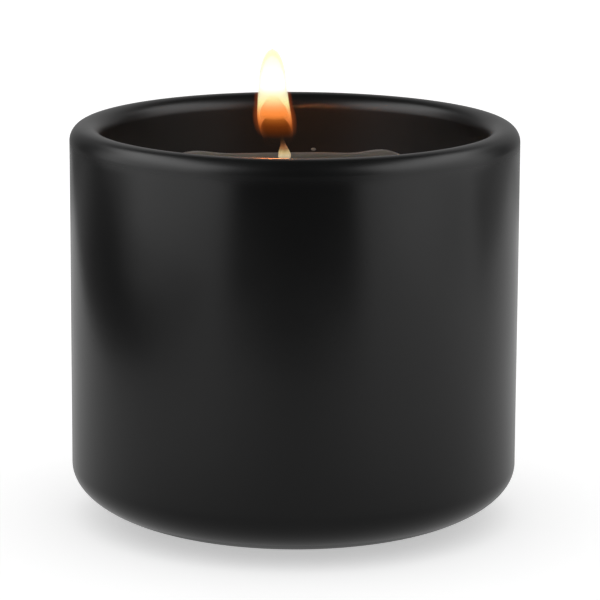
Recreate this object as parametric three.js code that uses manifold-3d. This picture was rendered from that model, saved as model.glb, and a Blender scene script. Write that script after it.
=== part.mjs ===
// A lit container candle: a black glazed ceramic jar filled with wax, with its wick set and flame.
// Millimetres, +Z up. The origin is on the jar's axis, on the surface that the jar stands on.

import * as THREE from 'three';
import { mergeVertices } from 'three/addons/utils/BufferGeometryUtils.js';
import Module from 'manifold-3d';

// Jar
const jarRadius = 45;
const jarHeight = 80;
const wallThickness = 6.3;
const floorThickness = 7;
const baseReach = 22; // how far in the base's curve runs
const baseRise = 11; // how far up the wall it runs
const innerCornerRadius = 8;
const footRingWidth = 5;
const footRecess = 1;

// The gap between two pieces that touch on the real candle
const clearance = 0.3;

// Wax
const waxDepthBelowRim = 13;
const waxCreepHeight = 0.6;
const waxCreepWidth = 2;
const poolRadius = 31;
const poolDepth = 5;
const poolDrop = 0.2;

// Wick set, all centred on the wick's own axis
const wickX = -1.7;
const wickRadius = 1.2;
const wickLength = 11.4; // the stretch above the wax
const wickLean = 1.2; // how far the tip has bent over
const tabRadius = 10;
const tabThickness = 0.4;
const neckRadius = 2;
const neckHeight = 3.5;
const neckFlare = 0.6;
const stickerThickness = 1;

// Flame
const flameHeight = 20.4;
const flameHalfWidth = 3.4;
const flameOverlap = 3.8; // how far the wick's tip stands inside it
const flameFootX = -2.5;
const flameTipX = -4.6;
const flameDrift = 4.5; // the rise over which it settles from its foot to its tip line

// Facets
const jarSegments = 72;
const wickSetSegments = 40;
const flameSegments = 24;
const wickSides = 12;
const wickSteps = 28;
const wickTipSteps = 8; // along the stretch above the wax

// Levels that follow from the sizes above
const innerRadius = jarRadius - wallThickness;
const lipRadius = wallThickness / 2;
const waxRadius = innerRadius - clearance;
const waxTop = jarHeight - waxDepthBelowRim;
const stickerBottom = floorThickness + clearance;
const tabBottom = stickerBottom + stickerThickness + clearance;
const tabTop = tabBottom + tabThickness;
const neckTop = tabTop + neckHeight;
const boreRadius = wickRadius + clearance;
const wickTop = waxTop + wickLength;
const flameBottom = wickTop - flameOverlap;

const wasm = await Module();
wasm.setup();

const glaze = new THREE.MeshStandardMaterial({ color: 0x1b1c1e, roughness: 0.35, metalness: 0 });
const wax = new THREE.MeshStandardMaterial({ color: 0xe9e0cb, roughness: 0.5, metalness: 0 });
const liquidWax = new THREE.MeshStandardMaterial({ color: 0xd9c79c, roughness: 0.08, metalness: 0 });
const cotton = new THREE.MeshStandardMaterial({ color: 0xdccdb0, roughness: 0.9, metalness: 0 });
const tinPlate = new THREE.MeshStandardMaterial({ color: 0xb9bcc0, roughness: 0.35, metalness: 0.9 });
const foam = new THREE.MeshStandardMaterial({ color: 0xf2f2ee, roughness: 0.9, metalness: 0 });
const fire = new THREE.MeshStandardMaterial({ color: 0xffb765, roughness: 1, metalness: 0 });
fire.emissive = new THREE.Color(0xff9a3c);

const point = (radius, height) => new THREE.Vector2(radius, height);

// A round stretch of a profile, about a centre, from one angle to another in degrees.
function arc(centreRadius, centreHeight, reachOut, reachUp, from, to, steps) {
  const points = [];
  for (let i = 0; i <= steps; i += 1) {
    const angle = THREE.MathUtils.degToRad(from + ((to - from) * i) / steps);
    const radius = centreRadius + reachOut * Math.cos(angle);
    const height = centreHeight + reachUp * Math.sin(angle);
    points.push(point(Math.max(radius, 0), height));
  }
  return points;
}

// A profile turned about the Z axis. It runs anticlockwise, so its faces point out.
function turned(profile, segments) {
  return new THREE.LatheGeometry(profile, segments).rotateX(Math.PI / 2);
}

function closedRing(profile) {
  return [...profile, profile[0].clone()];
}

function toManifold(geometry) {
  const bare = geometry.clone();
  bare.deleteAttribute('normal');
  bare.deleteAttribute('uv');
  const merged = mergeVertices(bare);
  const vertProperties = new Float32Array(merged.attributes.position.array);
  const triVerts = new Uint32Array(merged.index.array);
  return new wasm.Manifold(new wasm.Mesh({ numProp: 3, vertProperties, triVerts }));
}

function fromManifold(solid) {
  const mesh = solid.getMesh();
  const geometry = new THREE.BufferGeometry();
  geometry.setAttribute('position', new THREE.BufferAttribute(mesh.vertProperties, 3));
  geometry.setIndex(new THREE.BufferAttribute(mesh.triVerts, 1));
  geometry.computeVertexNormals();
  return geometry;
}

function cut(blank, tool) {
  return fromManifold(toManifold(blank).subtract(toManifold(tool)));
}

// The wick stands straight up through the wax, then bends over to the -X side.
class WickPath extends THREE.Curve {
  constructor(bottom) {
    super();
    this.bottom = bottom;
  }

  getPoint(t, target = new THREE.Vector3()) {
    const z = THREE.MathUtils.lerp(this.bottom, wickTop, t);
    const bend = Math.max((z - waxTop) / wickLength, 0);
    return target.set(wickX - wickLean * bend * bend, 0, z);
  }
}

function wickSweep(radius, bottom, steps) {
  const corners = [];
  for (let i = 0; i < wickSides; i += 1) {
    const angle = (2 * Math.PI * i) / wickSides;
    corners.push(new THREE.Vector2(radius * Math.cos(angle), radius * Math.sin(angle)));
  }
  const extrudePath = new WickPath(bottom);
  return new THREE.ExtrudeGeometry(new THREE.Shape(corners), { steps, extrudePath });
}

function jarGeometry() {
  const footOuter = jarRadius - baseReach;
  const footInner = footOuter - footRingWidth;
  const profile = [
    point(0, footRecess),
    point(footInner - footRecess, footRecess),
    point(footInner, 0),
    ...arc(footOuter, baseRise, baseReach, baseRise, -90, 0, 12),
    ...arc(jarRadius - lipRadius, jarHeight - lipRadius, lipRadius, lipRadius, 0, 180, 14),
    ...arc(
      innerRadius - innerCornerRadius,
      floorThickness + innerCornerRadius,
      innerCornerRadius,
      innerCornerRadius,
      0,
      -90,
      6,
    ),
    point(0, floorThickness),
  ];
  return turned(profile, jarSegments);
}

// The wax before the wick set and the melt pool are cut out of it.
function waxBlank() {
  const corner = innerCornerRadius - clearance;
  const bottom = floorThickness + clearance;
  const profile = [
    point(0, bottom),
    ...arc(waxRadius - corner, bottom + corner, corner, corner, -90, 0, 6),
    point(waxRadius, waxTop + waxCreepHeight),
    ...arc(waxRadius - waxCreepWidth, waxTop + waxCreepHeight, waxCreepWidth, waxCreepHeight, -20, -90, 3),
    point(0, waxTop),
  ];
  return turned(profile, jarSegments);
}

// The pool's dish, from the wick's bore out to the height where it ends.
function dish(radius, depth, endHeight) {
  const from = -THREE.MathUtils.radToDeg(Math.acos(boreRadius / radius));
  const to = -THREE.MathUtils.radToDeg(Math.asin((waxTop - endHeight) / depth));
  return arc(0, waxTop, radius, depth, from, to, 9);
}

// What the wax leaves free: the sticker and tab below, the wick's bore, and the pool's dish above.
function waxCutter() {
  const below = floorThickness - 1;
  const above = waxTop + 3;
  const profile = [
    point(0, below),
    point(tabRadius + clearance, below),
    point(tabRadius + clearance, tabTop + clearance),
    point(neckRadius + neckFlare + clearance, tabTop + clearance),
    point(neckRadius + clearance, tabTop + neckFlare + clearance),
    point(neckRadius + clearance, neckTop + clearance),
    point(boreRadius, neckTop + clearance),
    ...dish(poolRadius, poolDepth, waxTop),
    point(poolRadius, above),
    point(0, above),
  ];
  return turned(profile, wickSetSegments).translate(wickX, 0, 0);
}

function poolGeometry() {
  const surface = waxTop - poolDrop;
  const bowl = dish(poolRadius - clearance, poolDepth - clearance, surface);
  const profile = closedRing([...bowl, point(boreRadius, surface)]);
  return turned(profile, wickSetSegments).translate(wickX, 0, 0);
}

function sustainerGeometry() {
  const profile = closedRing([
    point(boreRadius, tabBottom),
    point(tabRadius, tabBottom),
    point(tabRadius, tabTop),
    point(neckRadius + neckFlare, tabTop),
    point(neckRadius, tabTop + neckFlare),
    point(neckRadius, neckTop),
    point(boreRadius, neckTop),
  ]);
  return turned(profile, wickSetSegments).translate(wickX, 0, 0);
}

function stickerGeometry() {
  const profile = [
    point(0, stickerBottom),
    point(tabRadius, stickerBottom),
    point(tabRadius, stickerBottom + stickerThickness),
    point(0, stickerBottom + stickerThickness),
  ];
  return turned(profile, wickSetSegments).translate(wickX, 0, 0);
}

// The flame's half width, as a share of its largest, at eleven heights from foot to tip.
function flameProfile() {
  const outline = new THREE.SplineCurve([
    point(0, 0),
    point(0.55, 0.03),
    point(0.84, 0.1),
    point(0.97, 0.2),
    point(1, 0.33),
    point(0.91, 0.49),
    point(0.84, 0.64),
    point(0.77, 0.76),
    point(0.59, 0.88),
    point(0.32, 0.965),
    point(0, 1),
  ]);
  return outline
    .getPoints(22)
    .map((p) => point(Math.max(p.x, 0) * flameHalfWidth, flameBottom + p.y * flameHeight));
}

function flameGeometry() {
  const body = turned(flameProfile(), flameSegments);
  const position = body.attributes.position;
  for (let i = 0; i < position.count; i += 1) {
    const rise = Math.max(position.getZ(i) - flameBottom, 0);
    const share = Math.exp(-rise / flameDrift);
    position.setX(i, position.getX(i) + THREE.MathUtils.lerp(flameTipX, flameFootX, share));
  }
  const pocket = wickSweep(boreRadius, waxTop, wickTipSteps).translate(0, 0, clearance);
  return cut(body, pocket);
}

const candle = new THREE.Group();

function add(name, geometry, material) {
  const mesh = new THREE.Mesh(geometry, material);
  mesh.name = name;
  candle.add(mesh);
}

add('jar', jarGeometry(), glaze);
add('wax_fill', cut(waxBlank(), waxCutter()), wax);
add('melt_pool', poolGeometry(), liquidWax);
add('wick', wickSweep(wickRadius, tabBottom, wickSteps), cotton);
add('wick_sustainer', sustainerGeometry(), tinPlate);
add('wick_sticker', stickerGeometry(), foam);
add('flame', flameGeometry(), fire);

export default candle;
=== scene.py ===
"""A lit container candle in a black glazed ceramic jar: the looks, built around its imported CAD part.

Metres, +Z up. The origin is on the jar's axis, on the surface that the jar stands on.
"""

import math

import bpy
from mathutils import Matrix, Vector, noise


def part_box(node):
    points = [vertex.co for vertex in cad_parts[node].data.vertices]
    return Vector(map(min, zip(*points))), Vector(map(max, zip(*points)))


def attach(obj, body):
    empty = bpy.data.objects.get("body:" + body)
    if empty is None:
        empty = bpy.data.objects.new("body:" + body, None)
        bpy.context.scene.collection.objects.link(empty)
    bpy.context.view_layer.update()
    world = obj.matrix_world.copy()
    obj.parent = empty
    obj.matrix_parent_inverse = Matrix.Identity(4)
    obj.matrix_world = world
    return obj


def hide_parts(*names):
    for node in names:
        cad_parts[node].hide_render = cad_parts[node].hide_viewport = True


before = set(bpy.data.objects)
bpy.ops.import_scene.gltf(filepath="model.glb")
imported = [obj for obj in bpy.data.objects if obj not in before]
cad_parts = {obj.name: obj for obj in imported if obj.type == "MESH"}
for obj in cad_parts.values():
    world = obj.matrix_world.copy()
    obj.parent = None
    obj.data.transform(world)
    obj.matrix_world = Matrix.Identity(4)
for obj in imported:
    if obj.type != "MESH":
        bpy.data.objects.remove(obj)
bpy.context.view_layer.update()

MM = 0.001

# ---------------------------------------------------------------- sizes, from the CAD nodes' boxes

_, jar_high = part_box("jar")
wax_low, wax_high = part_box("wax_fill")
pool_low, pool_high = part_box("melt_pool")
wick_low, wick_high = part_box("wick")
tab_low, tab_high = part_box("wick_sustainer")
_, flame_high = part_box("flame")

CLEARANCE = 0.3 * MM
WALL = 6.3 * MM
BASE_REACH = 22 * MM
BASE_RISE = 11 * MM
FOOT_RING_WIDTH = 5 * MM
FOOT_RECESS = 1 * MM
INNER_CORNER = 8 * MM
POOL_DEPTH = 5 * MM
WAX_CREEP = 0.6 * MM

JAR_RADIUS = jar_high.x
JAR_HEIGHT = jar_high.z
INNER_RADIUS = JAR_RADIUS - WALL
LIP_RADIUS = WALL / 2
FLOOR_TOP = wax_low.z - CLEARANCE
WAX_TOP = wax_high.z - WAX_CREEP
WICK_X = (tab_low.x + tab_high.x) / 2
WICK_RADIUS = wick_high.y
WICK_TOP = wick_high.z
WICK_LEAN = 1.2 * MM
POOL_RADIUS = (pool_high.x - pool_low.x) / 2
BORE_RADIUS = WICK_RADIUS + CLEARANCE

FLAME_HEIGHT = 20.4 * MM
FLAME_TOP = flame_high.z
FLAME_BOTTOM = FLAME_TOP - FLAME_HEIGHT
FLAME_HALF_WIDTH = flame_high.y
FLAME_FOOT_X = -2.5 * MM
FLAME_TIP_X = -4.6 * MM
FLAME_DRIFT = 4.5 * MM


# ---------------------------------------------------------------- meshes


def arc(centre, reach, start, end, steps):
    """Points of an elliptical stretch of a profile, from one angle to another in degrees."""
    points = []
    for i in range(steps + 1):
        a = math.radians(start + (end - start) * i / steps)
        points.append((centre[0] + reach[0] * math.cos(a), centre[1] + reach[1] * math.sin(a)))
    return points


def line(start, end, steps):
    """Points after the start of a straight stretch of a profile, without its end."""
    return [
        (start[0] + (end[0] - start[0]) * i / steps, start[1] + (end[1] - start[1]) * i / steps)
        for i in range(1, steps)
    ]


def turned(profile, segments, place, closed=False):
    """Vertices and faces of a profile turned about Z. A profile that isn't closed starts and ends on
    the axis. place(radius, height, angle) gives a point's own position."""
    verts, rings = [], []
    for r, z in profile:
        if r < 1e-9 and not closed:
            rings.append([len(verts)] * segments)
            verts.append(place(0.0, z, 0.0))
            continue
        rings.append(list(range(len(verts), len(verts) + segments)))
        verts += [place(r, z, 2 * math.pi * j / segments) for j in range(segments)]
    if closed:
        rings.append(rings[0])
    faces = []
    for low, high in zip(rings, rings[1:]):
        for j in range(segments):
            k = (j + 1) % segments
            corners = [low[j], low[k], high[k], high[j]]
            faces.append(list(dict.fromkeys(corners)))
    return verts, faces


def new_piece(name, verts, faces):
    mesh = bpy.data.meshes.new(name)
    mesh.from_pydata(verts, [], faces)
    mesh.update()
    for polygon in mesh.polygons:
        polygon.use_smooth = True
    piece = bpy.data.objects.new(name, mesh)
    bpy.context.scene.collection.objects.link(piece)
    return piece


def revolve(name, profile, segments, place, closed=False):
    return new_piece(name, *turned(profile, segments, place, closed))


def joined(parts):
    """The vertices and faces of several parts as one mesh's."""
    verts, faces = [], []
    for part_verts, part_faces in parts:
        faces += [[v + len(verts) for v in face] for face in part_faces]
        verts += part_verts
    return verts, faces


def tube(points, radii, sides):
    """Vertices and faces of a capped tube along points that mostly rise."""
    verts, faces = [], []
    for i, (p, r) in enumerate(zip(points, radii)):
        before = points[max(i - 1, 0)]
        after = points[min(i + 1, len(points) - 1)]
        along = (after - before).normalized()
        side = along.cross(Vector((0, 1, 0))).normalized()
        other = along.cross(side)
        for j in range(sides):
            a = 2 * math.pi * j / sides
            verts.append(p + side * (r * math.cos(a)) + other * (r * math.sin(a)))
    for i in range(len(points) - 1):
        for j in range(sides):
            k = (j + 1) % sides
            low, high = i * sides, (i + 1) * sides
            faces.append([low + j, high + j, high + k, low + k])
    last = (len(points) - 1) * sides
    faces.append(list(range(sides)))
    faces.append([last + j for j in reversed(range(sides))])
    return verts, faces


def smooth_step(low, high, value):
    t = min(max((value - low) / (high - low), 0.0), 1.0)
    return t * t * (3 - 2 * t)


# ---------------------------------------------------------------- materials


class Nodes:
    """A material's nodes, made one at a time."""

    def __init__(self, name):
        self.material = bpy.data.materials.new(name)
        self.material.use_nodes = True
        self.tree = self.material.node_tree
        self.tree.nodes.clear()
        self.output = self.tree.nodes.new("ShaderNodeOutputMaterial")

    def add(self, kind, **settings):
        node = self.tree.nodes.new("ShaderNode" + kind)
        for key, value in settings.items():
            setattr(node, key, value)
        return node

    def link(self, source, target):
        self.tree.links.new(source, target)

    def put(self, value, socket):
        """Links an output, or sets a plain value."""
        if isinstance(value, bpy.types.NodeSocket):
            self.link(value, socket)
        else:
            socket.default_value = value

    def position(self):
        return self.add("NewGeometry").outputs["Position"]

    def noise(self, scale, detail=4.0, roughness=0.5, vector=None):
        node = self.add("TexNoise")
        node.inputs["Scale"].default_value = scale
        node.inputs["Detail"].default_value = detail
        node.inputs["Roughness"].default_value = roughness
        self.link(vector or self.position(), node.inputs["Vector"])
        return node.outputs["Fac"]

    def math(self, operation, a, b=0.0):
        node = self.add("Math", operation=operation)
        self.put(a, node.inputs[0])
        self.put(b, node.inputs[1])
        return node.outputs[0]

    def ranged(self, value, low, high, to_low=0.0, to_high=1.0):
        node = self.add("MapRange", interpolation_type="SMOOTHSTEP")
        self.put(value, node.inputs["Value"])
        node.inputs["From Min"].default_value = low
        node.inputs["From Max"].default_value = high
        node.inputs["To Min"].default_value = to_low
        node.inputs["To Max"].default_value = to_high
        return node.outputs["Result"]

    def ramp(self, value, stops):
        node = self.add("ValToRGB")
        elements = node.color_ramp.elements
        while len(elements) > 1:
            elements.remove(elements[-1])
        elements[0].position = stops[0][0]
        elements[0].color = (*stops[0][1], 1)
        for place, colour in stops[1:]:
            elements.new(place).color = (*colour, 1)
        self.put(value, node.inputs["Fac"])
        return node.outputs["Color"]

    def blend(self, factor, a, b):
        node = self.add("Mix", data_type="FLOAT")
        for value, socket in ((factor, node.inputs[0]), (a, node.inputs[2]), (b, node.inputs[3])):
            self.put(value, socket)
        return node.outputs[0]

    def mix(self, factor, a, b):
        node = self.add("Mix", data_type="RGBA")
        self.put(factor, node.inputs["Factor"])
        for value, socket in ((a, node.inputs[6]), (b, node.inputs[7])):
            self.put(value if isinstance(value, bpy.types.NodeSocket) else (*value, 1), socket)
        return node.outputs[2]

    def bump(self, height, distance, normal=None):
        node = self.add("Bump")
        node.inputs["Distance"].default_value = distance
        self.link(height, node.inputs["Height"])
        if normal:
            self.link(normal, node.inputs["Normal"])
        return node.outputs["Normal"]

    def axes(self):
        node = self.add("SeparateXYZ")
        self.link(self.position(), node.inputs[0])
        return node.outputs

    def radius_from(self, x=0.0):
        """Distance from the upright axis through (x, 0)."""
        axes = self.axes()
        dx = self.math("SUBTRACT", axes[0], x)
        x_square = self.math("MULTIPLY", dx, dx)
        y_square = self.math("MULTIPLY", axes[1], axes[1])
        return self.math("SQRT", self.math("ADD", x_square, y_square))

    def emit(self, colour, strength):
        node = self.add("Emission")
        node.inputs["Color"].default_value = (*colour, 1)
        self.put(strength, node.inputs["Strength"])
        self.link(node.outputs[0], self.output.inputs["Surface"])

    def principled(self, **values):
        node = self.add("BsdfPrincipled")
        for key, value in values.items():
            socket = node.inputs[key.replace("_", " ").title().replace("Ior", "IOR")]
            if isinstance(value, tuple) and len(value) == 3 and "Color" in socket.name:
                value = (*value, 1)
            self.put(value, socket)
        self.link(node.outputs[0], self.output.inputs["Surface"])


def glaze_material():
    """Black glaze, paler inside as soot haze and paler still towards the wax as painted glow from the
    lit wax, with faint mottling, orange peel and rare pinholes.
    """
    n = Nodes("black_glaze")
    cloud = n.noise(90, detail=3)
    colour = n.mix(cloud, (0.0042, 0.0045, 0.005), (0.0075, 0.0078, 0.0084))
    inside = n.ranged(n.radius_from(), INNER_RADIUS + 0.2 * MM, INNER_RADIUS + 1.6 * MM, 1.0, 0.0)
    height = n.axes()[2]
    # Paler inside: partly soot haze, and partly painted glow from the lit wax, so it is palest just
    # over the wax and fades towards the lip.
    soot_and_wax_glow = n.ranged(height, WAX_TOP + 1 * MM, JAR_HEIGHT - 3 * MM, 1.0, 0.4)
    colour = n.mix(n.math("MULTIPLY", inside, soot_and_wax_glow), colour, (0.0205, 0.022, 0.025))
    lip = n.ranged(height, JAR_HEIGHT - 6 * MM, JAR_HEIGHT - 2 * MM)
    patch = n.ranged(n.noise(28, detail=5, roughness=0.6), 0.3, 0.7, -0.02, 0.02)
    rough = n.math("ADD", n.ranged(n.math("MAXIMUM", inside, lip), 0, 1, 0.19, 0.33), patch)
    swell = n.noise(45, detail=1)
    peel = n.noise(900, detail=2)
    pits = n.add("TexVoronoi", feature="F1")
    pits.inputs["Scale"].default_value = 240
    n.link(n.position(), pits.inputs["Vector"])
    spacing = n.ranged(pits.outputs["Distance"], 0.02, 0.1, 0.0, 1.0)
    normal = n.bump(swell, 0.12 * MM)
    normal = n.bump(peel, 0.0035 * MM, normal=normal)
    normal = n.bump(spacing, 0.01 * MM, normal=normal)
    n.principled(base_color=colour, roughness=rough, ior=1.5, normal=normal)
    return n.material


def bisque_material():
    """The bare fired clay of the foot ring."""
    n = Nodes("bisque")
    grain = n.noise(2600, detail=6, roughness=0.7)
    speck = n.ranged(n.noise(700, detail=2), 0.62, 0.7)
    colour = n.mix(grain, (0.34, 0.29, 0.23), (0.52, 0.46, 0.38))
    colour = n.mix(speck, colour, (0.12, 0.1, 0.08))
    rough = n.ranged(grain, 0.2, 0.8, 0.75, 0.95)
    n.principled(base_color=colour, roughness=rough, normal=n.bump(grain, 0.05 * MM))
    return n.material


def wax_material():
    """White wax: frosted and faintly mottled, and wetter near the melt pool."""
    n = Nodes("wax")
    from_wick = n.radius_from(WICK_X)
    cloud = n.noise(160, detail=5, roughness=0.6)
    frost = n.noise(1500, detail=4, roughness=0.7)
    colour = n.mix(cloud, (0.6, 0.585, 0.55), (0.68, 0.665, 0.63))
    colour = n.mix(n.ranged(frost, 0.55, 0.75, 0.0, 0.5), colour, (0.76, 0.75, 0.72))
    wet = n.ranged(from_wick, POOL_RADIUS, POOL_RADIUS + 2.5 * MM, 0.0, 1.0)
    rough = n.math("ADD", n.ranged(wet, 0, 1, 0.12, 0.42), n.ranged(cloud, 0.3, 0.7, -0.05, 0.06))
    normal = n.bump(cloud, 0.15 * MM)
    normal = n.bump(frost, 0.02 * MM, normal=normal)
    n.principled(
        base_color=colour,
        roughness=rough,
        subsurface_weight=0.35,
        subsurface_radius=(0.004, 0.0025, 0.0012),
        subsurface_scale=0.6,
        normal=normal,
    )
    return n.material


def pool_material():
    """Liquid wax: glossy, and faintly yellow over the white wax, deeper towards the wick."""
    n = Nodes("liquid_wax")
    from_wick = n.radius_from(WICK_X)
    depth = n.ramp(
        n.ranged(from_wick, 0.0, POOL_RADIUS),
        [(0.0, (0.54, 0.46, 0.32)), (0.55, (0.56, 0.51, 0.4)), (1.0, (0.6, 0.57, 0.5))],
    )
    cloud = n.noise(120, detail=3)
    colour = n.mix(n.ranged(cloud, 0.3, 0.75, 0.0, 0.35), depth, (0.64, 0.61, 0.55))
    ripple = n.noise(60, detail=1)
    rough = n.ranged(cloud, 0.2, 0.8, 0.03, 0.07)
    n.principled(
        base_color=colour,
        roughness=rough,
        ior=1.44,
        subsurface_weight=0.3,
        subsurface_radius=(0.004, 0.0025, 0.0012),
        subsurface_scale=0.8,
        normal=n.bump(ripple, 0.08 * MM),
    )
    return n.material


def cotton_material():
    """Braided cotton soaked in wax, with the flame's light on it painted in as a warm glow, and charred
    black above.
    """
    n = Nodes("cotton_wick")
    axes = n.axes()
    grime = n.noise(900, detail=5, roughness=0.7)
    fibre = n.noise(3500, detail=3)
    line_height = n.math("ADD", axes[2], n.math("MULTIPLY", n.math("SUBTRACT", grime, 0.5), 1.6 * MM))
    charred = n.ranged(line_height, CHAR_START, CHAR_START + 1.6 * MM)
    cotton = n.mix(fibre, (0.66, 0.57, 0.42), (0.86, 0.79, 0.66))
    scorched = n.ranged(line_height, CHAR_START - 3.0 * MM, CHAR_START - 0.6 * MM)
    cotton = n.mix(scorched, cotton, (0.3, 0.13, 0.035))
    colour = n.mix(charred, cotton, (0.012, 0.01, 0.009))
    rough = n.ranged(charred, 0, 1, 0.42, 0.9)
    # Painted light: the flame's light on the soaked cotton, given as emission, brightest a few mm over
    # the wax and dimming to orange and then nothing at the char line.
    painted_flame_light = n.ramp(
        n.ranged(axes[2], WAX_TOP + 4 * MM, CHAR_START + 0.6 * MM),
        [
            (0.0, (0.3, 0.24, 0.15)),
            (0.5, (0.5, 0.38, 0.22)),
            (0.64, (0.36, 0.3, 0.11)),
            (0.79, (0.15, 0.065, 0.014)),
            (0.93, (0.1, 0.03, 0.01)),
            (1.0, (0.03, 0.012, 0.004)),
        ],
    )
    n.principled(
        base_color=colour,
        roughness=rough,
        emission_color=painted_flame_light,
        emission_strength=1.0,
        normal=n.bump(fibre, 0.03 * MM),
    )
    return n.material


def tin_material():
    """Stamped tin plate with a fine rolled grain."""
    n = Nodes("tin_plate")
    stretch = n.add("Mapping")
    stretch.inputs["Scale"].default_value = (60, 2500, 2500)
    n.link(n.position(), stretch.inputs["Vector"])
    grain = n.noise(1.0, detail=4, vector=stretch.outputs[0])
    stain = n.noise(350, detail=4)
    colour = n.mix(stain, (0.5, 0.51, 0.53), (0.68, 0.68, 0.69))
    rough = n.ranged(grain, 0.2, 0.8, 0.26, 0.46)
    n.principled(base_color=colour, metallic=1.0, roughness=rough, normal=n.bump(grain, 0.01 * MM))
    return n.material


def foam_material():
    """White adhesive foam."""
    n = Nodes("adhesive_foam")
    cells = n.add("TexVoronoi", feature="F1")
    cells.inputs["Scale"].default_value = 2400
    n.link(n.position(), cells.inputs["Vector"])
    bulge = cells.outputs["Distance"]
    colour = n.mix(bulge, (0.86, 0.86, 0.83), (0.7, 0.69, 0.65))
    rough = n.ranged(bulge, 0.0, 0.6, 0.95, 0.8)
    n.principled(base_color=colour, roughness=rough, normal=n.bump(bulge, 0.04 * MM))
    return n.material


def flame_material(name, colours, front, back):
    """A layer of flame. colours, front and back run from the foot (0) to the tip (1): what it glows
    with, and how much it hides on the side facing out and on the side facing in."""
    n = Nodes(name)
    height = n.add("MapRange")
    n.link(n.axes()[2], height.inputs["Value"])
    height.inputs["From Min"].default_value = FLAME_BOTTOM
    height.inputs["From Max"].default_value = FLAME_TOP
    rise = height.outputs["Result"]
    glow = n.ramp(rise, colours)
    outward = n.ramp(rise, [(place, (share,) * 3) for place, share in front])
    inward = n.ramp(rise, [(place, (share,) * 3) for place, share in back])
    facing_in = n.add("NewGeometry").outputs["Backfacing"]
    hides = n.mix(facing_in, outward, inward)
    n.principled(
        base_color=(0.0, 0.0, 0.0),
        roughness=1.0,
        specular_ior_level=0.0,
        emission_color=glow,
        emission_strength=1.0,
        alpha=hides,
    )
    return n.material


# ---------------------------------------------------------------- the jar

FOOT_OUTER = JAR_RADIUS - BASE_REACH
FOOT_INNER = FOOT_OUTER - FOOT_RING_WIDTH
FOOT_EDGE = 0.4 * MM  # the rounding of the foot ring's inner edges
BARE_MARGIN = 1.5 * MM  # how far past the foot ring's outer edge the clay is bare
JAR_SEGMENTS = 224
WARP = 0.05 * MM


def jar_profile():
    edge = FOOT_EDGE
    recess_edge = FOOT_INNER - FOOT_RECESS
    lip_centre = (JAR_RADIUS - LIP_RADIUS, JAR_HEIGHT - LIP_RADIUS)
    corner = (INNER_RADIUS - INNER_CORNER, FLOOR_TOP + INNER_CORNER)
    base = arc((FOOT_OUTER, BASE_RISE), (BASE_REACH, BASE_RISE), -90, 0, 44)
    outer_lip = arc(lip_centre, (LIP_RADIUS, LIP_RADIUS), 0, 180, 56)
    inner = arc(corner, (INNER_CORNER, INNER_CORNER), 0, -90, 16)
    return [
        (0.0, FOOT_RECESS),
        *line((0.0, FOOT_RECESS), (recess_edge, FOOT_RECESS), 8),
        *arc((recess_edge, FOOT_RECESS - edge), (edge, edge), 90, 45, 3),
        *arc((FOOT_INNER, edge), (edge, edge), -135, -90, 3),
        *line((FOOT_INNER, 0.0), (FOOT_OUTER, 0.0), 6),
        *base,
        *line(base[-1], outer_lip[0], 34),
        *outer_lip,
        *line(outer_lip[-1], inner[0], 30),
        *inner,
        *line(inner[-1], (0.0, FLOOR_TOP), 8),
        (0.0, FLOOR_TOP),
    ]


def jar_place(r, z, a):
    """Thrown and glazed ware is never dead true: the wall swells and dips by a few hundredths."""
    x, y = r * math.cos(a), r * math.sin(a)
    if r > 0.6 * JAR_RADIUS and z > 2 * MM:
        swell = noise.noise(Vector((math.cos(a) * 1.3, math.sin(a) * 1.3, z * 28))) * WARP
        x += math.cos(a) * swell
        y += math.sin(a) * swell
    return (x, y, z)


def make_jar(glaze, bisque):
    jar = revolve("jar_body", jar_profile(), JAR_SEGMENTS, jar_place)
    jar.data.materials.append(glaze)
    jar.data.materials.append(bisque)
    for polygon in jar.data.polygons:
        radius = math.hypot(polygon.center.x, polygon.center.y)
        bare = FOOT_INNER < radius < FOOT_OUTER + BARE_MARGIN and polygon.center.z < FOOT_RECESS / 2
        polygon.material_index = 1 if bare else 0
    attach(jar, "root")
    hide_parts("jar")


# ---------------------------------------------------------------- the wax and the melt pool

WAX_GAP = 0.04 * MM  # between the wax and the jar
CREEP_WIDTH = 2.2 * MM
SHORE_GAP = 0.15 * MM  # between the wax and the liquid, around the pool's edge
WAX_SEGMENTS = 192
TAB_RADIUS = (tab_high.x - tab_low.x) / 2
NECK_RADIUS = 2 * MM
NECK_FLARE = 0.6 * MM
TAB_THICKNESS = 0.4 * MM


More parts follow.
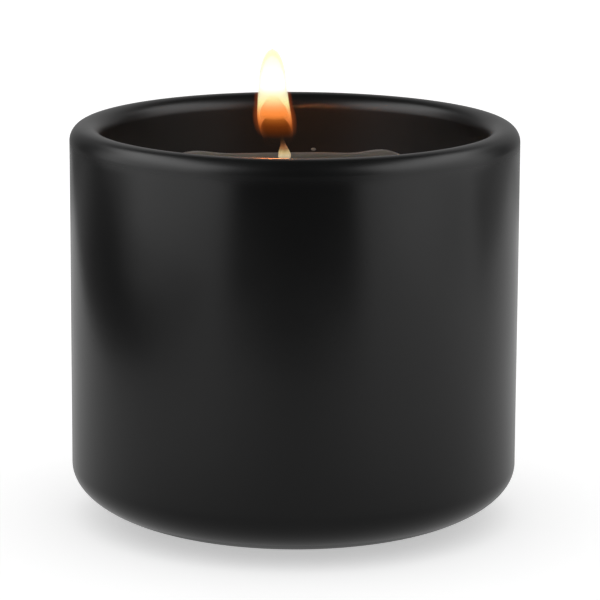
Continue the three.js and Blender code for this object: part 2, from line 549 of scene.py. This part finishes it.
def wax_profile():
    """Closed on itself, around the wick's bore: under the wax, up its side, and over its top."""
    corner = INNER_CORNER - WAX_GAP
    side = INNER_RADIUS - WAX_GAP
    bottom = FLOOR_TOP + WAX_GAP
    tab_top = tab_low.z + TAB_THICKNESS
    under = [
        (BORE_RADIUS, tab_high.z + CLEARANCE),
        (NECK_RADIUS + CLEARANCE, tab_high.z + CLEARANCE),
        (NECK_RADIUS + CLEARANCE, tab_top + NECK_FLARE + CLEARANCE),
        (NECK_RADIUS + NECK_FLARE + CLEARANCE, tab_top + CLEARANCE),
        (TAB_RADIUS + CLEARANCE, tab_top + CLEARANCE),
        (TAB_RADIUS + CLEARANCE, bottom),
    ]
    curve = arc((side - corner, bottom + corner), (corner, corner), -90, 0, 12)
    top = WAX_TOP + WAX_CREEP
    creep = arc((side - CREEP_WIDTH, top), (CREEP_WIDTH, WAX_CREEP), -4, -90, 12)
    shore = POOL_RADIUS + SHORE_GAP
    bore_angle = -math.degrees(math.acos(BORE_RADIUS / shore))
    dish = arc((0.0, WAX_TOP), (shore, POOL_DEPTH - 0.2 * MM), 0, bore_angle, 26)
    return [
        *under,
        *line(under[-1], curve[0], 8),
        *curve,
        *line(curve[-1], (side, top), 24),
        (side, top),
        *creep,
        *line(creep[-1], dish[0], 8),
        *dish,
        *line(dish[-1], under[0], 20),
    ]


BANKS = [(61, 8, 1.6 * MM), (124, 10, 1.4 * MM), (250, 14, 1.0 * MM)]  # angle, half width, rise


def bank_height(a):
    """How much higher the wax clings to the wall at each angle: a few broad banks, and small waves."""
    rise = noise.noise(Vector((math.cos(a) * 3, math.sin(a) * 3, 5.0))) * 0.2 * MM
    for middle, width, height in BANKS:
        rise += height * math.exp(-(((math.degrees(a) - middle) / width) ** 2))
    return rise


def wax_place(r, z, a):
    """The bore and dish are round about the wick, and the side is round about the jar."""
    share = smooth_step(INNER_RADIUS, POOL_RADIUS + 1 * MM, r)
    x = r * math.cos(a) + WICK_X * share
    y = r * math.sin(a)
    if z > WAX_TOP - 0.4 * MM and r > POOL_RADIUS - 1 * MM:
        near_wall = smooth_step(POOL_RADIUS + 2 * MM, INNER_RADIUS, r)
        lift = bank_height(a) * near_wall
        lift += noise.noise(Vector((x * 160, y * 160, 1.0))) * 0.12 * MM * (1 - near_wall)
        z += lift * smooth_step(WAX_TOP - 0.4 * MM, WAX_TOP, z)
    return (x, y, z)


def make_wax(material):
    wax = revolve("wax_body", wax_profile(), WAX_SEGMENTS, wax_place, closed=True)
    wax.data.materials.append(material)
    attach(wax, "root")
    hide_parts("wax_fill")


BEAD_X = 3.9 * MM
BEAD_ABOVE_WAX = 1.3 * MM
BEAD_HALF_WIDTH = 0.55 * MM
BEAD_HALF_HEIGHT = 0.32 * MM
BEAD_DEPTH = 0.3 * MM
BEAD_SUNK = 0.05 * MM  # how much of its depth is in the wall
BEAD_SIDES = 20


def make_bead(material):
    """One bead of wax that has set on the far wall, just over the wax."""
    middle = Vector((BEAD_X, math.sqrt(INNER_RADIUS**2 - BEAD_X**2), WAX_TOP + BEAD_ABOVE_WAX))
    out = Vector((-middle.x, -middle.y, 0)).normalized()
    side = out.cross(Vector((0, 0, 1)))
    dome = arc((0.0, 0.0), (1.0, 1.0), 0, 90, 6)[:-1]
    verts, faces = [], []
    for ring, (reach, height) in enumerate(dome):
        for j in range(BEAD_SIDES):
            a = 2 * math.pi * j / BEAD_SIDES
            across = side * (BEAD_HALF_WIDTH * reach * math.cos(a))
            up = Vector((0, 0, BEAD_HALF_HEIGHT * reach * math.sin(a)))
            verts.append(middle + across + up + out * (BEAD_DEPTH * height - BEAD_SUNK))
            if ring:
                low, k = (ring - 1) * BEAD_SIDES, (j + 1) % BEAD_SIDES
                faces.append([low + j, low + k, low + BEAD_SIDES + k, low + BEAD_SIDES + j])
    faces.append([len(verts) - BEAD_SIDES + j for j in range(BEAD_SIDES)])
    faces.append(list(reversed(range(BEAD_SIDES))))
    bead = new_piece("wax_bead", verts, faces)
    bead.data.materials.append(material)
    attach(bead, "root")


MENISCUS_REACH = 1.2 * MM
MENISCUS_RISE = 0.14 * MM
CLIMB_REACH = 1.4 * MM
CLIMB_RISE = 1.1 * MM
POOL_SEGMENTS = 128


def pool_profile():
    """A lens of liquid with a meniscus at the shore and another where it climbs the wick."""
    surface = pool_high.z
    bore_angle = -math.degrees(math.acos(BORE_RADIUS / POOL_RADIUS))
    bowl = arc((0.0, WAX_TOP), (POOL_RADIUS, POOL_DEPTH - 0.3 * MM), bore_angle, -3, 26)
    shore_centre = (POOL_RADIUS - MENISCUS_REACH, surface + MENISCUS_RISE)
    shore = arc(shore_centre, (MENISCUS_REACH, MENISCUS_RISE), -8, -90, 8)
    climb_centre = (BORE_RADIUS + CLIMB_REACH, surface + CLIMB_RISE)
    climb = arc(climb_centre, (CLIMB_REACH, CLIMB_RISE), -90, -172, 10)
    return [
        *bowl,
        *shore,
        *line(shore[-1], climb[0], 22),
        *climb,
        *line(climb[-1], bowl[0], 8),
    ]


def pool_place(r, z, a):
    return (WICK_X + r * math.cos(a), r * math.sin(a), z)


def make_pool(material):
    pool = revolve("melt_pool_liquid", pool_profile(), POOL_SEGMENTS, pool_place, closed=True)
    pool.data.materials.append(material)
    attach(pool, "root")
    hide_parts("melt_pool")


# ---------------------------------------------------------------- the wick

STRANDS_EACH_WAY = 4
STRAND_RADIUS = 0.34 * MM
BRAID_RADIUS = 0.72 * MM
BRAID_WEAVE = 0.06 * MM
BRAID_PITCH = 9 * MM
BRAID_STEPS = 190
STRAND_SIDES = 8
SOAKED_SIDES = 24
FRAYING = 0.1 * MM
SOAKED_BRAID = 1.08 * MM  # the filled wick's radius where the strands are at their full size
CHAR_START = 76.0 * MM
# The wax that soaks the wick fills the braid out: height and radius of the filled wick, in mm.
SOAK = [
    (0.0, 0.98),
    (72.6, 0.98),
    (73.4, 1.3),
    (74.2, 1.12),
    (75.0, 0.82),
    (75.8, 0.52),
    (76.6, 0.38),
    (79.0, 0.3),
]


def wick_centre(z):
    bend = max((z - WAX_TOP) / (WICK_TOP - WAX_TOP), 0.0)
    return Vector((WICK_X - WICK_LEAN * bend * bend, 0.0, z))


def soaked_radius(z):
    """The wick is widest just over the wax, and burns down to a thin tip."""
    for (low, low_radius), (high, high_radius) in zip(SOAK, SOAK[1:]):
        if z <= high * MM:
            return (low_radius + (high_radius - low_radius) * smooth_step(low * MM, high * MM, z)) * MM
    return SOAK[-1][1] * MM


def strand(way, k, heights):
    """One strand's line and radii. It winds one way round the wick and weaves over and under."""
    points, radii = [], []
    for z in heights:
        a = way * 2 * math.pi * z / BRAID_PITCH + 2 * math.pi * k / STRANDS_EACH_WAY
        share = soaked_radius(z) / SOAKED_BRAID
        out = (BRAID_RADIUS + way * BRAID_WEAVE * math.cos(STRANDS_EACH_WAY * a)) * share
        frayed = noise.noise(Vector((z * 900, k, way))) * FRAYING
        out += frayed * smooth_step(CHAR_START, heights[-1], z)
        points.append(wick_centre(z) + Vector((out * math.cos(a), out * math.sin(a), 0)))
        radii.append(STRAND_RADIUS * min(share, 1.0))
    return points, radii


def make_wick(material):
    low, high = wick_low.z, WICK_TOP - 0.1 * MM
    heights = [low + (high - low) * i / BRAID_STEPS for i in range(BRAID_STEPS + 1)]
    parts = []
    for way in (1, -1):
        for k in range(STRANDS_EACH_WAY):
            parts.append(tube(*strand(way, k, heights), STRAND_SIDES))
    filled = [wick_centre(z) for z in heights]
    parts.append(tube(filled, [soaked_radius(z) for z in heights], SOAKED_SIDES))
    wick = new_piece("wick_braid", *joined(parts))
    wick.data.materials.append(material)
    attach(wick, "root")
    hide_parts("wick")


# ---------------------------------------------------------------- the flame

# Share of the largest half width, and share of the height.
FLAME_OUTLINE = [
    (0.0, 0.0),
    (0.55, 0.03),
    (0.84, 0.1),
    (0.97, 0.2),
    (1.0, 0.33),
    (0.91, 0.49),
    (0.84, 0.64),
    (0.77, 0.76),
    (0.59, 0.88),
    (0.32, 0.965),
    (0.0, 1.0),
]
DOME_OUTLINE = [(0.0, 0.0), (0.6, 0.1), (0.9, 0.35), (1.0, 0.6), (0.86, 0.84), (0.5, 0.97), (0.0, 1.0)]
OUTLINE_STEPS = 5
FLAME_SEGMENTS = 40
CLEAR = [(0.0, 0.0), (1.0, 0.0)]  # hides nothing from foot to tip


def catmull_rom(points, steps):
    """A smooth line through the points."""
    found = []
    last = len(points) - 1
    for i in range(last):
        p = [Vector(points[min(max(j, 0), last)]) for j in (i - 1, i, i + 1, i + 2)]
        for s in range(steps):
            t = s / steps
            straight = 2 * p[1] + (p[2] - p[0]) * t
            bend = (2 * p[0] - 5 * p[1] + 4 * p[2] - p[3]) * t * t
            twist = (3 * p[1] - p[0] - 3 * p[2] + p[3]) * t * t * t
            found.append(0.5 * (straight + bend + twist))
    found.append(Vector(points[-1]))
    return found


def flame_axis(z):
    share = math.exp(-max(z - FLAME_BOTTOM, 0.0) / FLAME_DRIFT)
    return FLAME_TIP_X + (FLAME_FOOT_X - FLAME_TIP_X) * share


def flame_place(r, z, a):
    return (flame_axis(z) + r * math.cos(a), r * math.sin(a), z)


def flame_shell(outline, width, foot, tip):
    profile = []
    for share, rise in catmull_rom(outline, OUTLINE_STEPS):
        z = FLAME_BOTTOM + FLAME_HEIGHT * (foot + (tip - foot) * rise)
        profile.append((max(share, 0.0) * FLAME_HALF_WIDTH * width, z))
    profile[0] = (0.0, profile[0][1])
    profile[-1] = (0.0, profile[-1][1])
    return turned(profile, FLAME_SEGMENTS, flame_place)


def flame_layer(name, outline, shells, colours, front, back):
    """One zone of the flame: shells inside one another, so that its edge is soft. Each shell is a
    share of the flame's half width, between two shares of its height."""
    layer = new_piece(name, *joined(flame_shell(outline, *shell) for shell in shells))
    layer.data.materials.append(flame_material(name, colours, front, back))
    layer.visible_shadow = False
    layer.visible_diffuse = False
    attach(layer, "root")
    return layer


def make_mantle():
    """The outer body: brown at its foot, orange, then yellow and white."""
    mantle = flame_layer(
        "flame_mantle",
        FLAME_OUTLINE,
        shells=[(1.0, 0.0, 1.0), (0.96, 0.01, 0.99), (0.91, 0.02, 0.975)],
        colours=[
            (0.0, (0.02, 0.01, 0.007)),
            (0.1, (0.03, 0.014, 0.01)),
            (0.16, (0.12, 0.035, 0.013)),
            (0.22, (0.32, 0.075, 0.015)),
            (0.28, (0.72, 0.2, 0.045)),
            (0.34, (1.0, 0.34, 0.085)),
            (0.396, (1.0, 0.58, 0.22)),
            (0.43, (1.0, 0.86, 0.35)),
            (0.47, (1.0, 0.98, 0.46)),
            (0.54, (1.0, 1.0, 0.64)),
            (0.62, (1.0, 1.0, 0.82)),
            (0.76, (1.0, 1.0, 0.74)),
            (0.9, (1.0, 1.0, 0.6)),
            (1.0, (1.0, 0.98, 0.6)),
        ],
        front=[
            (0.0, 0.0),
            (0.44, 0.0),
            (0.52, 0.1),
            (0.62, 0.1),
            (0.75, 0.18),
            (0.88, 0.28),
            (1.0, 0.32),
        ],
        back=[
            (0.0, 0.0),
            (0.08, 0.1),
            (0.18, 0.42),
            (0.3, 0.62),
            (0.5, 0.65),
            (0.62, 0.2),
            (0.75, 0.28),
            (0.88, 0.38),
            (1.0, 0.42),
        ],
    )
    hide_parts("flame")


def make_fringe():
    """The faint red air around the body."""
    hides = [
        (0.0, 0.0),
        (0.14, 0.0),
        (0.25, 0.014),
        (0.36, 0.024),
        (0.55, 0.018),
        (0.62, 0.004),
        (0.7, 0.0),
        (1.0, 0.0),
    ]
    flame_layer(
        "flame_fringe",
        FLAME_OUTLINE,
        shells=[(1.06, 0.02, 0.93), (1.12, 0.04, 0.9), (1.2, 0.05, 0.88), (1.27, 0.06, 0.86)],
        colours=[
            (0.0, (1.0, 0.25, 0.05)),
            (0.25, (1.2, 0.22, 0.025)),
            (0.5, (1.2, 0.18, 0.02)),
            (1.0, (1.2, 0.4, 0.1)),
        ],
        front=hides,
        back=hides,
    )


def make_core():
    """The white heart of the upper half."""
    flame_layer(
        "flame_core",
        FLAME_OUTLINE,
        shells=[(0.85, 0.1, 0.93), (0.7, 0.14, 0.89), (0.53, 0.2, 0.84)],
        colours=[
            (0.0, (1.0, 0.6, 0.2)),
            (0.5, (1.1, 1.0, 0.5)),
            (0.58, (1.4, 1.4, 1.0)),
            (0.66, (1.6, 1.6, 1.5)),
            (1.0, (1.6, 1.6, 1.5)),
        ],
        front=[(0.0, 0.0), (0.54, 0.0), (0.66, 0.5), (1.0, 0.5)],
        back=[(0.0, 0.0), (0.5, 0.0), (0.62, 0.5), (1.0, 0.5)],
    )


def make_amber():
    """The amber dome over the dark zone."""
    flame_layer(
        "flame_amber",
        DOME_OUTLINE,
        shells=[(0.86, 0.03, 0.485), (0.75, 0.04, 0.51), (0.61, 0.05, 0.535)],
        colours=[
            (0.0, (0.2, 0.05, 0.01)),
            (0.3, (0.4, 0.11, 0.015)),
            (0.33, (0.75, 0.21, 0.035)),
            (0.36, (0.97, 0.27, 0.05)),
            (0.39, (0.99, 0.3, 0.065)),
            (0.42, (0.99, 0.37, 0.11)),
            (0.45, (0.99, 0.46, 0.17)),
            (0.48, (0.99, 0.6, 0.24)),
            (0.505, (1.0, 0.8, 0.3)),
            (0.53, (1.0, 0.95, 0.36)),
        ],
        front=[
            (0.0, 0.0),
            (0.315, 0.0),
            (0.37, 0.65),
            (0.43, 0.8),
            (0.48, 0.7),
            (0.53, 0.35),
            (1.0, 0.0),
        ],
        back=CLEAR,
    )


def make_dark_zone():
    """The dark, unburnt vapour around the wick's tip."""
    flame_layer(
        "flame_dark_zone",
        DOME_OUTLINE,
        shells=[(0.88, 0.0, 0.325), (0.77, 0.0, 0.345), (0.66, 0.0, 0.365)],
        colours=[
            (0.0, (0.01, 0.008, 0.006)),
            (0.13, (0.014, 0.009, 0.006)),
            (0.19, (0.03, 0.008, 0.002)),
            (0.248, (0.075, 0.017, 0.003)),
            (0.278, (0.15, 0.038, 0.005)),
            (0.307, (0.27, 0.075, 0.01)),
            (0.33, (0.5, 0.14, 0.025)),
            (0.365, (0.9, 0.25, 0.05)),
        ],
        front=[
            (0.0, 0.0),
            (0.04, 0.0),
            (0.1, 0.25),
            (0.16, 0.5),
            (0.25, 0.74),
            (0.31, 0.7),
            (0.36, 0.15),
            (1.0, 0.0),
        ],
        back=CLEAR,
    )


# ---------------------------------------------------------------- build the object

make_jar(glaze_material(), bisque_material())
wax = wax_material()
make_wax(wax)
make_bead(wax)
make_pool(pool_material())
make_wick(cotton_material())
make_mantle()
make_fringe()
make_core()
make_amber()
make_dark_zone()
for node, material in (("wick_sustainer", tin_material()), ("wick_sticker", foam_material())):
    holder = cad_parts[node]
    holder.data.materials.clear()
    holder.data.materials.append(material)


# ---------------------------------------------------------------- the stage: floor, table and lights


def floor_material():
    """White paper, with a glow of its own that keeps the shadow pale."""
    n = Nodes("floor_white")
    grain = n.noise(40, detail=2)
    colour = n.mix(grain, (0.88, 0.88, 0.88), (0.9, 0.9, 0.9))
    n.principled(
        base_color=colour,
        roughness=0.9,
        specular_ior_level=0.0,
        emission_color=(1.0, 1.0, 1.0),
        emission_strength=FLOOR_GLOW,
    )
    return n.material


def table_material():
    """The table as the glaze mirrors it: a pale sheet with a dark gap at its left, the feet of two
    windows left and right of it, the dark of the room ahead, and a painted shadow of the jar around its
    foot."""
    n = Nodes("table_glow")
    x, y, _ = n.axes()
    across = n.math("ABSOLUTE", x)
    in_front = n.ranged(y, -50 * MM, 50 * MM, 1, 0)
    ahead = n.math("MULTIPLY", n.ranged(across, 0, 120 * MM, 0.15, 0), in_front)
    # Painted shadow: the sheet's glow is lowered close to the jar, as the jar's shade on the table.
    painted_jar_shadow = n.ranged(n.radius_from(), JAR_RADIUS, 170 * MM, 0.12, 0.0)
    to_right = n.ranged(x, 100 * MM, 300 * MM, 0, 0.17)
    brighter = n.math("MULTIPLY", to_right, n.ranged(y, -50 * MM, 100 * MM, 1, 0))
    sheet_glow = n.math("SUBTRACT", n.math("SUBTRACT", n.math("ADD", brighter, 0.58), ahead), painted_jar_shadow)

    slanted = n.math("ADD", x, n.math("MULTIPLY", y, 0.45))
    left_window = n.math(
        "MULTIPLY", n.ranged(slanted, -430 * MM, -280 * MM, 1, 0), n.ranged(y, -100 * MM, 90 * MM, 1, 0)
    )
    left_glow = n.math("ADD", left_window, n.ranged(y, 130 * MM, 280 * MM, 0.1, 0.22))
    right_window = n.ranged(y, 20 * MM, 110 * MM, 0.68, 0.28)
    right_glow = n.math("ADD", right_window, n.ranged(y, -250 * MM, 0, 0.35, 0))

    glow = n.blend(n.ranged(x, -225 * MM, -185 * MM, 1, 0), sheet_glow, left_glow)
    glow = n.blend(n.ranged(x, 260 * MM, 340 * MM), glow, right_glow)
    glow = n.math("MULTIPLY", glow, n.ranged(y, 270 * MM, 360 * MM, 1, 0.6))
    sideways = n.math("MAXIMUM", n.math("SUBTRACT", across, 120 * MM), 0)
    room_edge = n.math("ADD", n.math("MULTIPLY", n.math("MULTIPLY", sideways, sideways), 9), 262 * MM)
    past_edge = n.math("SUBTRACT", n.math("MULTIPLY", y, -1), room_edge)
    glow = n.blend(n.ranged(past_edge, -85 * MM, 85 * MM), glow, 0.1)
    n.emit((1.0, 1.0, 1.0), glow)
    return n.material


def window_material(name, low, high, front, back):
    """A window's light: brighter and longer higher up, fading out at the top and at both ends."""
    n = Nodes(name)
    _, y, z = n.axes()
    glow = n.ranged(z, 80 * MM, 250 * MM, low, high)
    glow = n.math("MULTIPLY", glow, n.ranged(z, 380 * MM, 460 * MM, 1, 0.1))
    glow = n.math("MULTIPLY", glow, n.ranged(y, front, front + 110 * MM, 0, 1))
    reach = n.ranged(z, 180 * MM, 300 * MM, back - 15 * MM, back + 90 * MM)
    past_back = n.math("SUBTRACT", y, reach)
    glow = n.math("MULTIPLY", glow, n.ranged(past_back, -10 * MM, 70 * MM, 1, 0.04))
    n.emit((1.0, 1.0, 1.0), glow)
    return n.material


def wall_material():
    """The wall behind: brightest in the middle, and fading upwards."""
    n = Nodes("wall_glow")
    x, _, z = n.axes()
    to_left = n.ranged(x, -300 * MM, -120 * MM, 0.2, 0.45)
    glow = n.math("ADD", to_left, n.ranged(x, 120 * MM, 300 * MM, 0, -0.12))
    glow = n.math("MULTIPLY", glow, n.ranged(z, 350 * MM, 600 * MM, 1, 0.3))
    n.emit((1.0, 1.0, 1.0), glow)
    return n.material


def plane(name, corners, material):
    piece = new_piece(name, corners, [(0, 1, 2, 3)])
    piece.data.materials.append(material)
    return piece


def flat(name, size, height, material):
    half = size / 2
    corners = [(x * half, y * half, height) for x, y in ((-1, -1), (1, -1), (1, 1), (-1, 1))]
    return plane(name, corners, material)


def upright(name, start, end, low, high, material):
    """A wall from one place on the floor to another, between two heights."""
    corners = [(*start, low), (*end, low), (*end, high), (*start, high)]
    return plane(name, corners, material)


def only_mirrored(piece):
    piece.visible_camera = False
    piece.visible_diffuse = False
    piece.visible_shadow = False


FLOOR_SIZE = 12.0
FLOOR_GLOW = 0.47
FLOOR_LIGHT = 2.15
OVERCAST_ANGLE = math.radians(170)
TABLE_SIZE = 1.3
WINDOW_LOW = 0.045
WINDOW_HIGH = 0.46
# Name, x, nearest and farthest y, glow low down and high up, and the y where the glow ends low down.
WINDOWS = [
    ("window_left", -0.22, (-0.34, 0.21), (1.2, 2.5), 0.04),
    ("window_right", 0.23, (-0.33, 0.22), (1.05, 2.1), 0.05),
]
WALL_Y = 0.45
WALL_HALF_WIDTH = 0.5
WALL_HEIGHT = 0.6

CANDLE_POWER = 0.006
CANDLE_COLOUR = (1.0, 0.79, 0.56)
CANDLE_SIZE = 2.5 * MM
CANDLE_RISE = 0.6  # share of the flame's height

GLARE_COLOUR = (1.0, 0.3, 0.09)
GLARE_STRENGTH = 24.0
# Radius in mm, and share of the flame's height.
GLARE_OUTLINE = [(0.0, 0.4), (2.2, 0.46), (2.8, 0.6), (2.4, 0.75), (1.4, 0.9), (0.0, 0.97)]
GLARE_SEGMENTS = 16

WORLD_SEEN = 1.2
WORLD_DIM = 0.08


def make_floor():
    """The camera sees it, the glaze mirrors none of it, and it lights nothing."""
    floor = flat("floor", FLOOR_SIZE, -0.1 * MM, floor_material())
    floor.visible_glossy = False
    floor.visible_diffuse = False
    floor.visible_shadow = False
    return floor


def make_mirrored_room():
    """What the glaze mirrors, and the camera never sees: a table, two windows and a wall."""
    only_mirrored(flat("table", TABLE_SIZE, -0.6 * MM, table_material()))
    for name, x, (near, far), (low, high), glow_end in WINDOWS:
        light = window_material(name, low, high, near, glow_end)
        only_mirrored(upright(name, (x, near), (x, far), WINDOW_LOW, WINDOW_HIGH, light))
    left, right = (-WALL_HALF_WIDTH, WALL_Y), (WALL_HALF_WIDTH, WALL_Y)
    only_mirrored(upright("wall_back", left, right, 0.0, WALL_HEIGHT, wall_material()))


def light_floor(floor):
    """A wide overcast light straight down that lights nothing but the floor."""
    floor_only = bpy.data.collections.new("floor_only")
    bpy.context.scene.collection.children.link(floor_only)
    floor_only.objects.link(floor)
    light = bpy.data.lights.new("floor_overcast", "SUN")
    light.energy = FLOOR_LIGHT
    light.angle = OVERCAST_ANGLE
    lamp = bpy.data.objects.new("floor_overcast", light)
    bpy.context.scene.collection.objects.link(lamp)
    lamp.light_linking.receiver_collection = floor_only


def light_candle():
    """The flame's own light on the wax, the wick and the wall around it."""
    light = bpy.data.lights.new("candle_light", "POINT")
    light.energy = CANDLE_POWER
    light.color = CANDLE_COLOUR
    light.shadow_soft_size = CANDLE_SIZE
    lamp = bpy.data.objects.new("candle_light", light)
    height = FLAME_BOTTOM + CANDLE_RISE * FLAME_HEIGHT
    lamp.location = (flame_axis(height), 0, height)
    lamp.visible_glossy = False
    bpy.context.scene.collection.objects.link(lamp)


def make_glare():
    """What the glaze mirrors of the flame is far brighter than white."""
    glow = Nodes("flame_glare")
    glow.emit(GLARE_COLOUR, GLARE_STRENGTH)
    profile = [(r * MM, FLAME_BOTTOM + rise * FLAME_HEIGHT) for r, rise in GLARE_OUTLINE]
    glare = revolve("flame_glare", profile, GLARE_SEGMENTS, flame_place)
    glare.data.materials.append(glow.material)
    only_mirrored(glare)


def white_world():
    """White where the camera looks past the floor, and dim to everything else."""
    world = bpy.data.worlds.new("studio")
    world.use_nodes = True
    nodes, links = world.node_tree.nodes, world.node_tree.links
    nodes.clear()
    output = nodes.new("ShaderNodeOutputWorld")
    background = nodes.new("ShaderNodeBackground")
    path = nodes.new("ShaderNodeLightPath")
    strength = nodes.new("ShaderNodeMapRange")
    strength.inputs["To Min"].default_value = WORLD_DIM
    strength.inputs["To Max"].default_value = WORLD_SEEN
    links.new(path.outputs["Is Camera Ray"], strength.inputs["Value"])
    links.new(strength.outputs["Result"], background.inputs["Strength"])
    links.new(background.outputs[0], output.inputs["Surface"])
    bpy.context.scene.world = world


floor = make_floor()
make_mirrored_room()
light_floor(floor)
light_candle()
make_glare()
white_world()

# ---------------------------------------------------------------- the camera

CAMERA_DISTANCE = 0.700
CAMERA_ELEVATION = math.radians(12.365)
CAMERA_LENS = 207.8
CAMERA_ROLL = 0.0045  # radians
AIM_RIGHT = 1.15 * MM
AIM_UP = 3.85 * MM


def make_camera():
    centre = Vector((0, 0, JAR_HEIGHT / 2))
    back = Vector((0, -math.cos(CAMERA_ELEVATION), math.sin(CAMERA_ELEVATION)))
    up = Vector((0, math.sin(CAMERA_ELEVATION), math.cos(CAMERA_ELEVATION)))
    place = centre + back * CAMERA_DISTANCE
    aim = centre + Vector((AIM_RIGHT, 0, 0)) + up * AIM_UP
    data = bpy.data.cameras.new("camera")
    data.lens = CAMERA_LENS
    data.sensor_width = 36
    data.clip_start = 0.01
    data.clip_end = 50
    camera = bpy.data.objects.new("camera", data)
    turn = (aim - place).to_track_quat("-Z", "Y").to_matrix().to_4x4()
    camera.matrix_world = Matrix.Translation(place) @ turn @ Matrix.Rotation(CAMERA_ROLL, 4, "Z")
    bpy.context.scene.collection.objects.link(camera)
    bpy.context.scene.camera = camera


make_camera()
bpy.context.scene.view_settings.view_transform = "Standard"
bpy.context.scene.cycles.transparent_max_bounces = 48  # the flame is many thin shells
